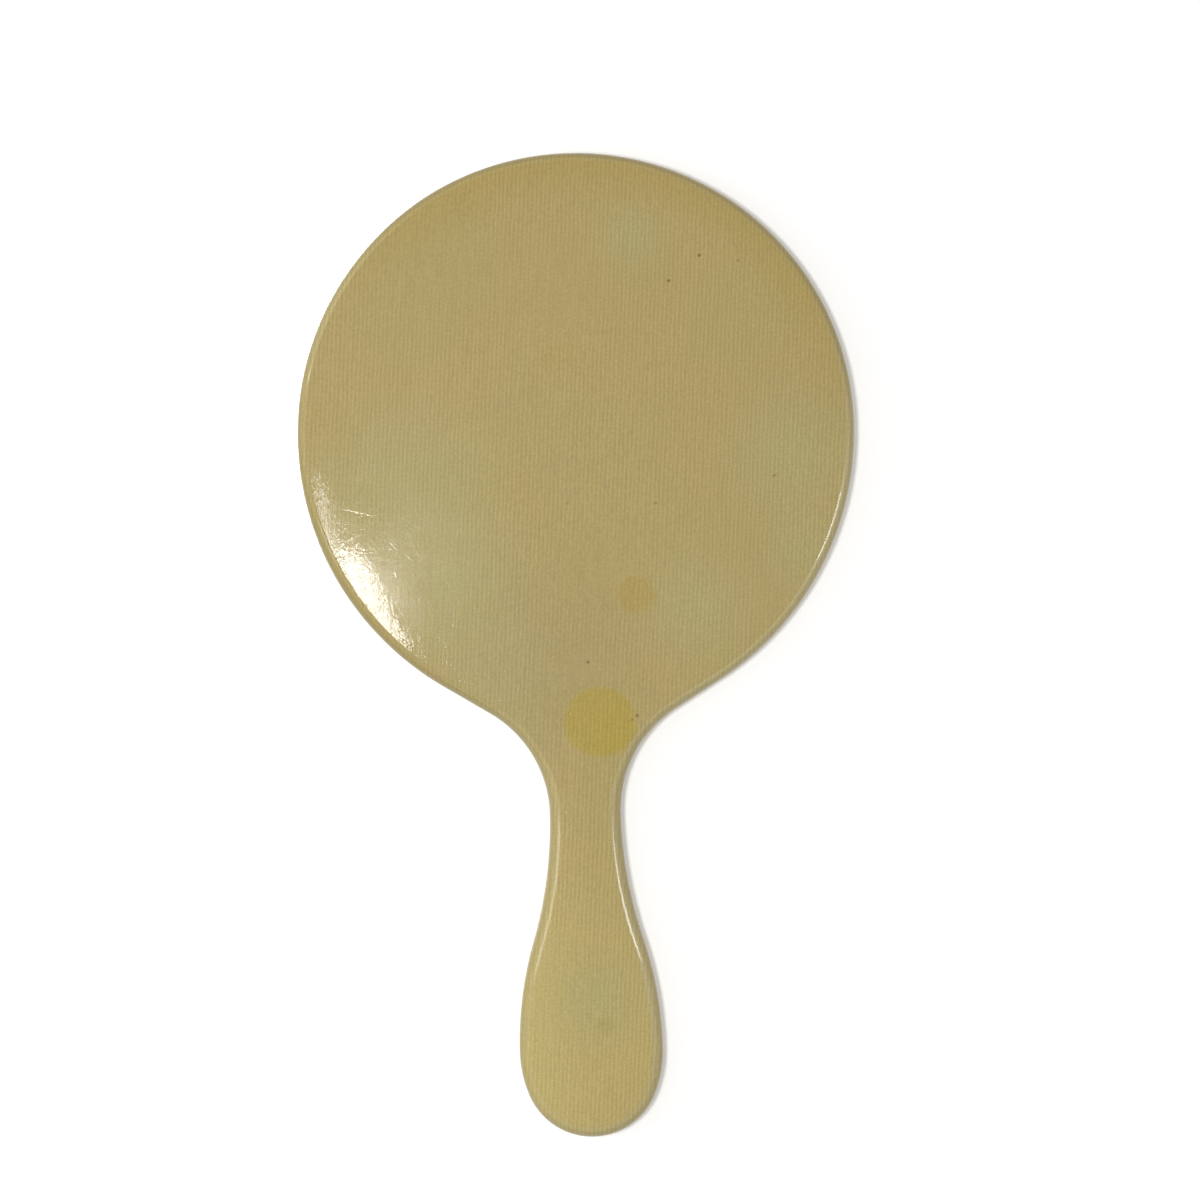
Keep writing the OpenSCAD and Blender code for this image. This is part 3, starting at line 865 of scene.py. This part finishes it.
def world():
    """White for the camera. Its lower half darkens upwards in the mirror, which shows the bevel."""
    found = bpy.data.worlds.new("studio")
    bpy.context.scene.world = found
    found.use_nodes = True
    nodes = Nodes(found.node_tree)
    background = found.node_tree.nodes["Background"]
    background.inputs["Color"].default_value = (1, 1, 1, 1)
    direction = nodes.add("TexCoord").outputs["Generated"]
    height = nodes.add("SeparateXYZ", None, {0: direction}).outputs["Z"]
    light = nodes.ramp(height, -0.1, 0.1, FLOOR_LIGHT, SKY_LIGHT)
    mirrored = nodes.ramp(height, -1.3, 0, 1, 0.4)
    mirrored = nodes.math("MAXIMUM", mirrored, nodes.math("GREATER_THAN", height, 0.0))
    white = nodes.math("MAXIMUM", nodes.add("LightPath").outputs["Is Camera Ray"], mirrored)
    is_seen = nodes.seen_white()
    unseen = nodes.math("MULTIPLY", nodes.math("SUBTRACT", 1.0, is_seen), light)
    level = nodes.math("MULTIPLY_ADD", is_seen, white, unseen)
    found.node_tree.links.new(level, background.inputs["Strength"])


def studio_floor():
    """A white floor that only the camera sees, and only from above, so that the front stays lit."""
    bm = bmesh.new()
    corners = ((-1, -1), (1, -1), (1, 1), (-1, 1))
    bm.faces.new([bm.verts.new((x * FLOOR_HALF, y * FLOOR_HALF, 0)) for x, y in corners])
    mesh = bpy.data.meshes.new("studio_floor")
    bm.to_mesh(mesh)
    bm.free()
    floor = bpy.data.objects.new("studio_floor", mesh)
    floor.location = (0, 0, -FLOOR_DROP)
    floor.visible_diffuse = False
    floor.visible_glossy = False
    floor.visible_transmission = False
    floor.visible_shadow = False
    bpy.context.scene.collection.objects.link(floor)
    pale = (0.92, 0.92, 0.92, 1)
    white = (1, 1, 1, 1)
    shader = Shader(
        "studio_floor", Base_Color=pale, Emission_Color=white, Roughness=0.9, Specular_IOR_Level=0.1
    )
    tree = shader.tree
    away = shader.distance((0, 0, 0))
    glow = shader.math("MULTIPLY", shader.seen_white(), shader.ramp(away, 0.2, 1.5, 0.18, 0.6))
    tree.links.new(glow, shader.surface.inputs["Emission Strength"])
    clear = shader.add("BsdfTransparent").outputs[0]
    behind = shader.add("NewGeometry").outputs["Backfacing"]
    both = shader.add("MixShader", None, {0: behind, 1: shader.surface.outputs[0], 2: clear})
    tree.links.new(both.outputs[0], tree.nodes["Material Output"].inputs["Surface"])
    mesh.materials.append(shader.material)


# ---------------------------------------------------------------- the whole
camera()
grained = celluloid("grained_celluloid", True)
back_cover(grained)
front_frame(grained)
glass_bead(celluloid("plain_celluloid", False))
bevelled_glass(clear_glass())
felt_disc(plain("pressed_felt", srgb(84, 80, 76), srgb(122, 116, 108), 700, 0.95, 0.15 * MM, sheen=0.4))

# The nodes that stay, with their materials. The longest unit is the way that a wood's fibres run.
BOARD_FIBRE = (0.08, 1.2, 0.08)
STICK_FIBRE = (0.07, 1.4, 0.07)
PEG_FIBRE = (0.3, 0.3, 2)
BOARD = (srgb(142, 102, 60), srgb(182, 140, 92))
STICK = (srgb(180, 140, 92), srgb(212, 172, 120))
PEG = (srgb(170, 130, 84), srgb(202, 162, 112))
KEPT = {
    "silver_coat": aged_silver(),
    "backing_paint": plain("backing_paint", srgb(104, 46, 34), srgb(132, 62, 44), 220, 0.7, 0.02 * MM),
    "packing_strip": plain("packing_paper", srgb(128, 104, 70), srgb(158, 132, 94), 900, 0.85, 0.03 * MM),
    "backing_card": plain("straw_board", srgb(140, 118, 84), srgb(170, 148, 110), 600, 0.9, 0.05 * MM),
    "head_core": plain("three_ply", *BOARD, 60, 0.65, 0.05 * MM, BOARD_FIBRE, 0.03),
    "handle_core": plain("beech", *STICK, 90, 0.6, 0.04 * MM, STICK_FIBRE, 0.02),
    "core_pegs": plain("beech_pegs", *PEG, 200, 0.6, 0.03 * MM, PEG_FIBRE),
}
for node, material in KEPT.items():
    mesh = frame["nodes"][node].data
    mesh.materials.clear()
    mesh.materials.append(material)

studio_floor()
world()
lamps()
bpy.context.scene.view_settings.view_transform = "Standard"
